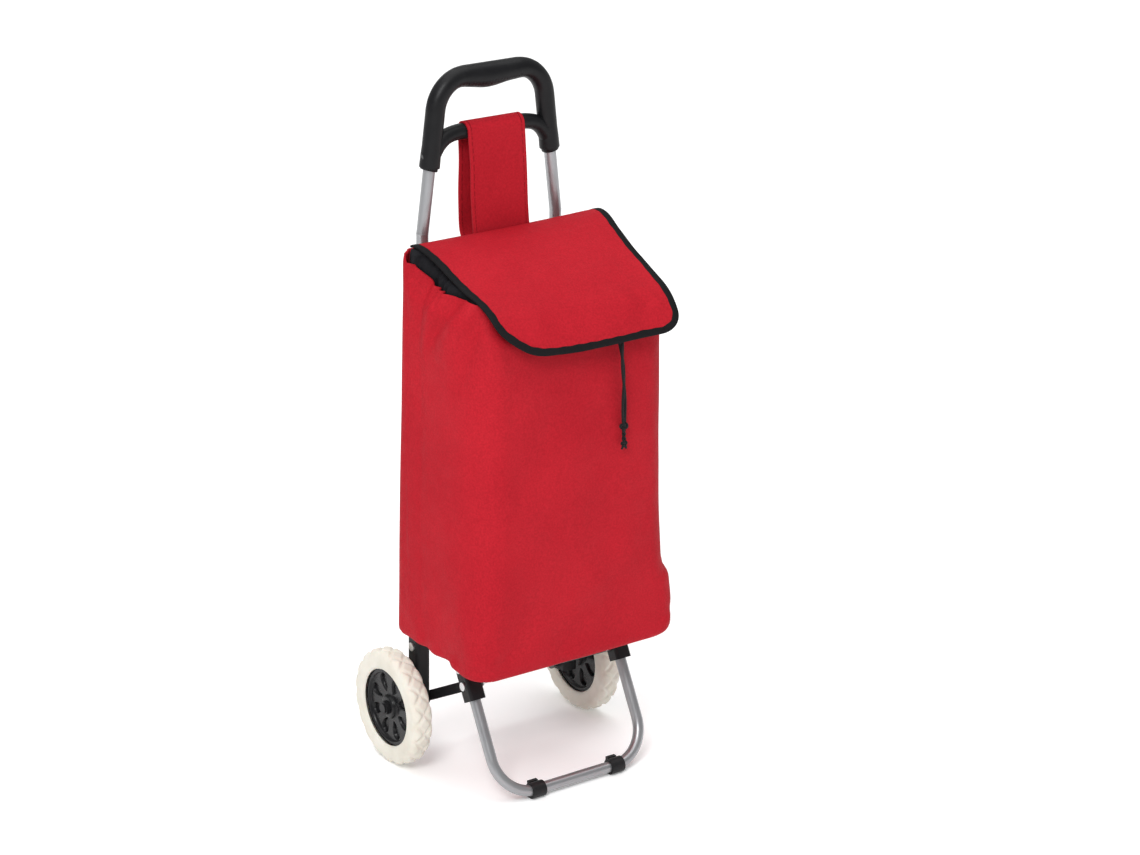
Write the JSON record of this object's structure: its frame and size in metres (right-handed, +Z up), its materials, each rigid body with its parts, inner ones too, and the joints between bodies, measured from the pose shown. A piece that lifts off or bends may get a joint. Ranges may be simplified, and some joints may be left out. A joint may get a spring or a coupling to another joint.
{
  "type": "shopping trolley",
  "caption": "Folding wheeled shopping trolley: tube frame with folding handle, foot and platform, carrying a soft bag with flap, draw cord and hanging loop.",
  "frame": {"origin": "on the floor, midway between the wheels, straight below the axle", "axes": "+Z up, -Y towards the trolley's front where the bag is, +X from left to right as seen from the front"},
  "size_m": [0.322, 0.2998, 0.8875],
  "materials": {
    "tube": "satin silver lacquer",
    "bare_steel": "zinc plated, satin",
    "link_steel": "satin black lacquer",
    "black_plastic": "satin moulded",
    "hub_plastic": "satin moulded",
    "tyre_foam": "matte moulded foam",
    "bag_cloth": "matte fine weave",
    "black_cloth": "matte weave",
    "black_cord": "matte braid",
    "board": "pressed fibre board, matte"
  },
  "bodies": {
    "frame": {"main_frame": "tube", "axle_bracket_left": "black_plastic", "axle_bracket_right": "black_plastic", "axle": "bare_steel", "axle_spacers": "link_steel", "axle_caps": "black_plastic", "frame_rivets": "bare_steel", "handle_pins": "bare_steel", "bag_body": "bag_cloth", "base_board": "board", "bag_collar": "black_cloth", "hanging_loop": "bag_cloth", "cord_eyelets": "black_plastic", "drawcord_left": "black_cord", "drawcord_right": "black_cord", "drawcord_knot": "black_cord", "drawcord_tail": "black_cord", "drawcord_end": "black_cord"},
    "wheel_left": {"wheel_hub_left": "hub_plastic", "tyre_left": "tyre_foam"},
    "wheel_right": {"wheel_hub_right": "hub_plastic", "tyre_right": "tyre_foam"},
    "links": {"link_left": "link_steel", "link_right": "link_steel"},
    "foot": {"foot_frame": "tube", "fold_joint_left": "black_plastic", "fold_joint_right": "black_plastic", "foot_clip_left": "black_plastic", "foot_clip_right": "black_plastic", "link_pins": "bare_steel", "platform_pins": "bare_steel"},
    "platform": {"platform_frame": "tube"},
    "handle": {"handle_pole_left": "tube", "handle_pole_right": "tube", "handle_arm_left": "black_plastic", "handle_arm_right": "black_plastic", "handle_grip": "black_plastic", "hang_bar": "black_plastic", "handle_screws": "bare_steel"},
    "bail": {"bag_bail": "bare_steel"},
    "flap": {"bag_flap": "bag_cloth", "flap_binding": "black_cloth"}
  },
  "joints": [
    {"name": "wheel_left_spin", "type": "hinge", "parent": "frame", "child": "wheel_left", "pos_m": [-0.144, 0, 0.075], "axis": [1, 0, 0], "continuous": true},
    {"name": "wheel_right_spin", "type": "hinge", "parent": "frame", "child": "wheel_right", "pos_m": [0.144, 0, 0.075], "axis": [1, 0, 0], "continuous": true},
    {"name": "front_fold", "type": "hinge", "parent": "frame", "child": "links", "pos_m": [0, 0, 0.075], "axis": [-1, 0, 0], "range_deg": [0, 48.2], "deforming": ["bag_body", "base_board"]},
    {"name": "foot_fold", "type": "hinge", "parent": "links", "child": "foot", "pos_m": [0, -0.128, 0.14], "axis": [1, 0, 0], "range_deg": [0, 77.7]},
    {"name": "platform_fold", "type": "hinge", "parent": "foot", "child": "platform", "pos_m": [0, -0.11801, 0.1596], "axis": [1, 0, 0], "range_deg": [0, 53.1]},
    {"name": "handle_fold", "type": "hinge", "parent": "frame", "child": "handle", "pos_m": [0, -0.02913, 0.50762], "axis": [-1, 0, 0], "range_deg": [0, 172], "deforming": ["hanging_loop"]},
    {"name": "bail_swing", "type": "hinge", "parent": "handle", "child": "bail", "pos_m": [0, -0.01784, 0.62019], "axis": [1, 0, 0], "range_deg": [-50, 100]},
    {"name": "flap_open", "type": "hinge", "parent": "frame", "child": "flap", "pos_m": [0, -0.049, 0.6845], "axis": [-1, 0, 0], "range_deg": [0, 90]}
  ],
  "couplings": [
    {"joint": "foot_fold", "follows": "front_fold", "ratio": 1.61},
    {"joint": "platform_fold", "follows": "front_fold", "ratio": 1.1}
  ]
}
